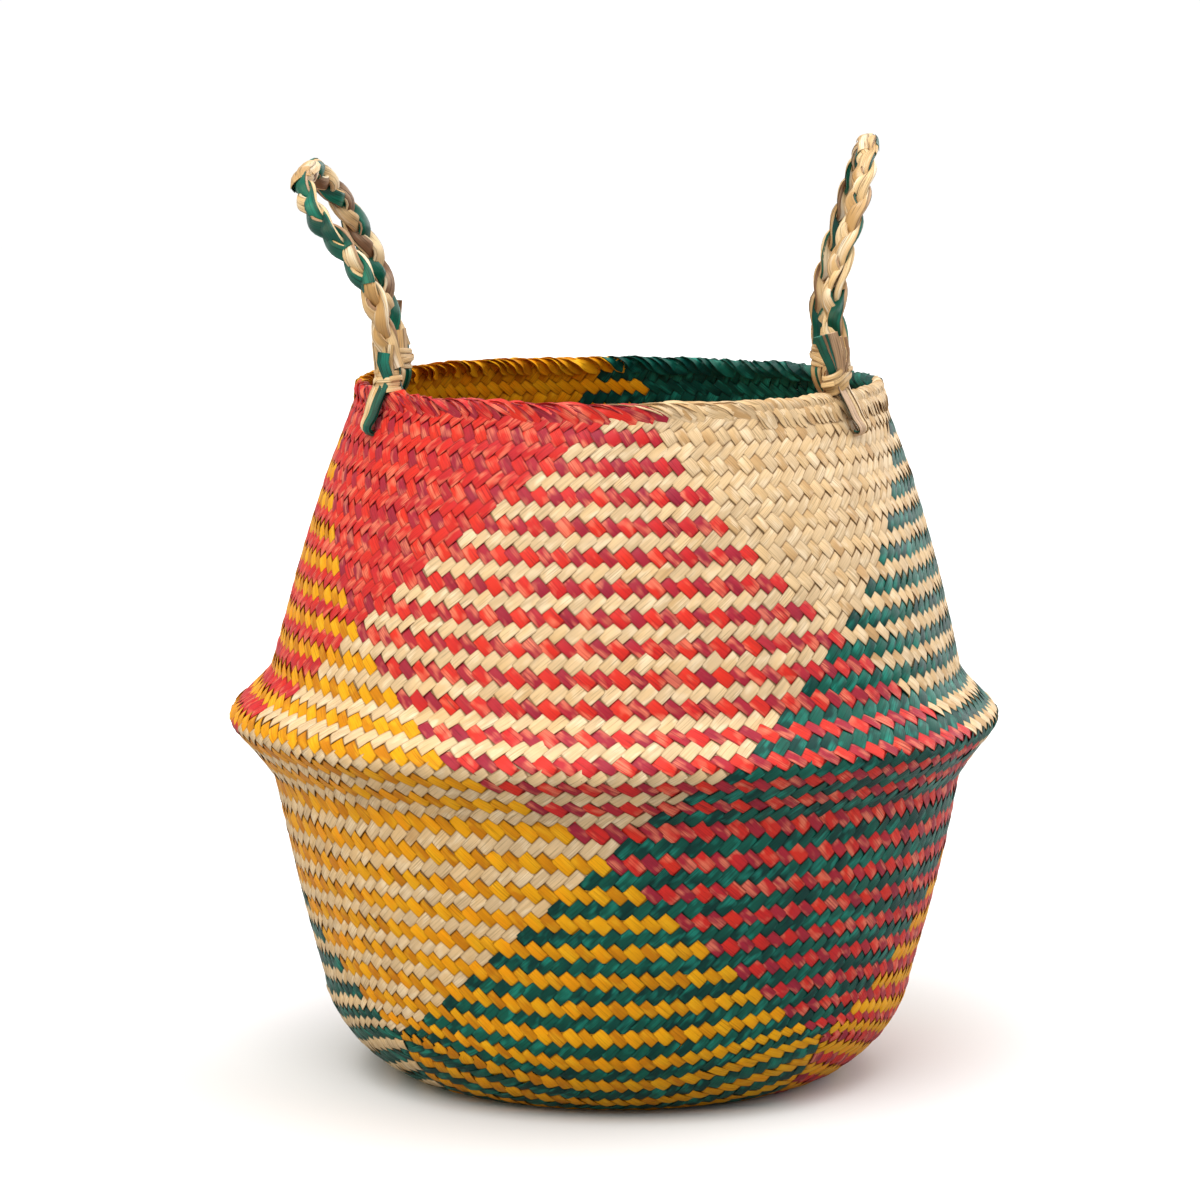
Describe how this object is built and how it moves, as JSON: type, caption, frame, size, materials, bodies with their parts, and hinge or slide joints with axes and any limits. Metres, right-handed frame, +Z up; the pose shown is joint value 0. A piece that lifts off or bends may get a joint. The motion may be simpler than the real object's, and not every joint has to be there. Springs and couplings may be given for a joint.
{
  "type": "collapsible storage basket",
  "caption": "Plaited leaf-strip belly basket with a folded ridge at half height, a collar that sinks into the belly, and plaited loop handles lashed to the rim.",
  "frame": {"origin": "on the floor, under the middle of the flat base", "axes": "+Z up out of the mouth, +X towards the right handle, -Y towards the front of the picture"},
  "size_m": [0.36, 0.36, 0.438],
  "materials": {
    "natural_strip": "undyed split leaf strip, satin, fine grain along the strip",
    "red_strip": "coral and berry red dyed leaf strip, satin",
    "green_strip": "dark green dyed leaf strip, satin",
    "mustard_strip": "mustard dyed leaf strip, satin",
    "natural_leaf": "undyed leaf bundle, satin to glossy",
    "green_leaf": "green dyed leaf bundle, satin to glossy",
    "raffia": "dry raffia cord"
  },
  "bodies": {
    "lower": {"base_mat": "green_strip", "lower_wall": "mustard_strip", "belly_fold": "red_strip", "shoulder_wall": "natural_strip"},
    "upper": {"collar_wall": "natural_strip", "rim_edge_green": "green_strip", "rim_edge_mustard": "mustard_strip", "rim_edge_red": "red_strip", "rim_edge_natural": "natural_strip", "right_back_natural_leaf": "natural_leaf", "right_back_green_leaf": "green_leaf", "right_back_leaf_end": "green_leaf", "right_back_lashing": "raffia", "left_back_natural_leaf": "natural_leaf", "left_back_green_leaf": "green_leaf", "left_back_leaf_end": "green_leaf", "left_back_lashing": "raffia", "left_front_natural_leaf": "natural_leaf", "left_front_green_leaf": "green_leaf", "left_front_leaf_end": "green_leaf", "left_front_lashing": "raffia", "right_front_natural_leaf": "natural_leaf", "right_front_green_leaf": "green_leaf", "right_front_leaf_end": "green_leaf", "right_front_lashing": "raffia"},
    "left_handle": {"left_handle_strand_1": "natural_leaf", "left_handle_strand_2": "green_leaf", "left_handle_strand_3": "natural_leaf"},
    "right_handle": {"right_handle_strand_1": "natural_leaf", "right_handle_strand_2": "green_leaf", "right_handle_strand_3": "natural_leaf"}
  },
  "joints": [
    {"name": "collapse", "type": "slide", "parent": "lower", "child": "upper", "axis": [0, 0, 1], "range_m": [-0.18, 0], "deforming": ["shoulder_wall"]},
    {"name": "left_handle_swing", "type": "hinge", "parent": "upper", "child": "left_handle", "pos_m": [-0.10263, 0, 0.3441], "axis": [0, -1, 0], "range_deg": [-81, 34]},
    {"name": "right_handle_swing", "type": "hinge", "parent": "upper", "child": "right_handle", "pos_m": [0.10263, 0, 0.3441], "axis": [0, 1, 0], "range_deg": [-64.7, 50.3]}
  ]
}
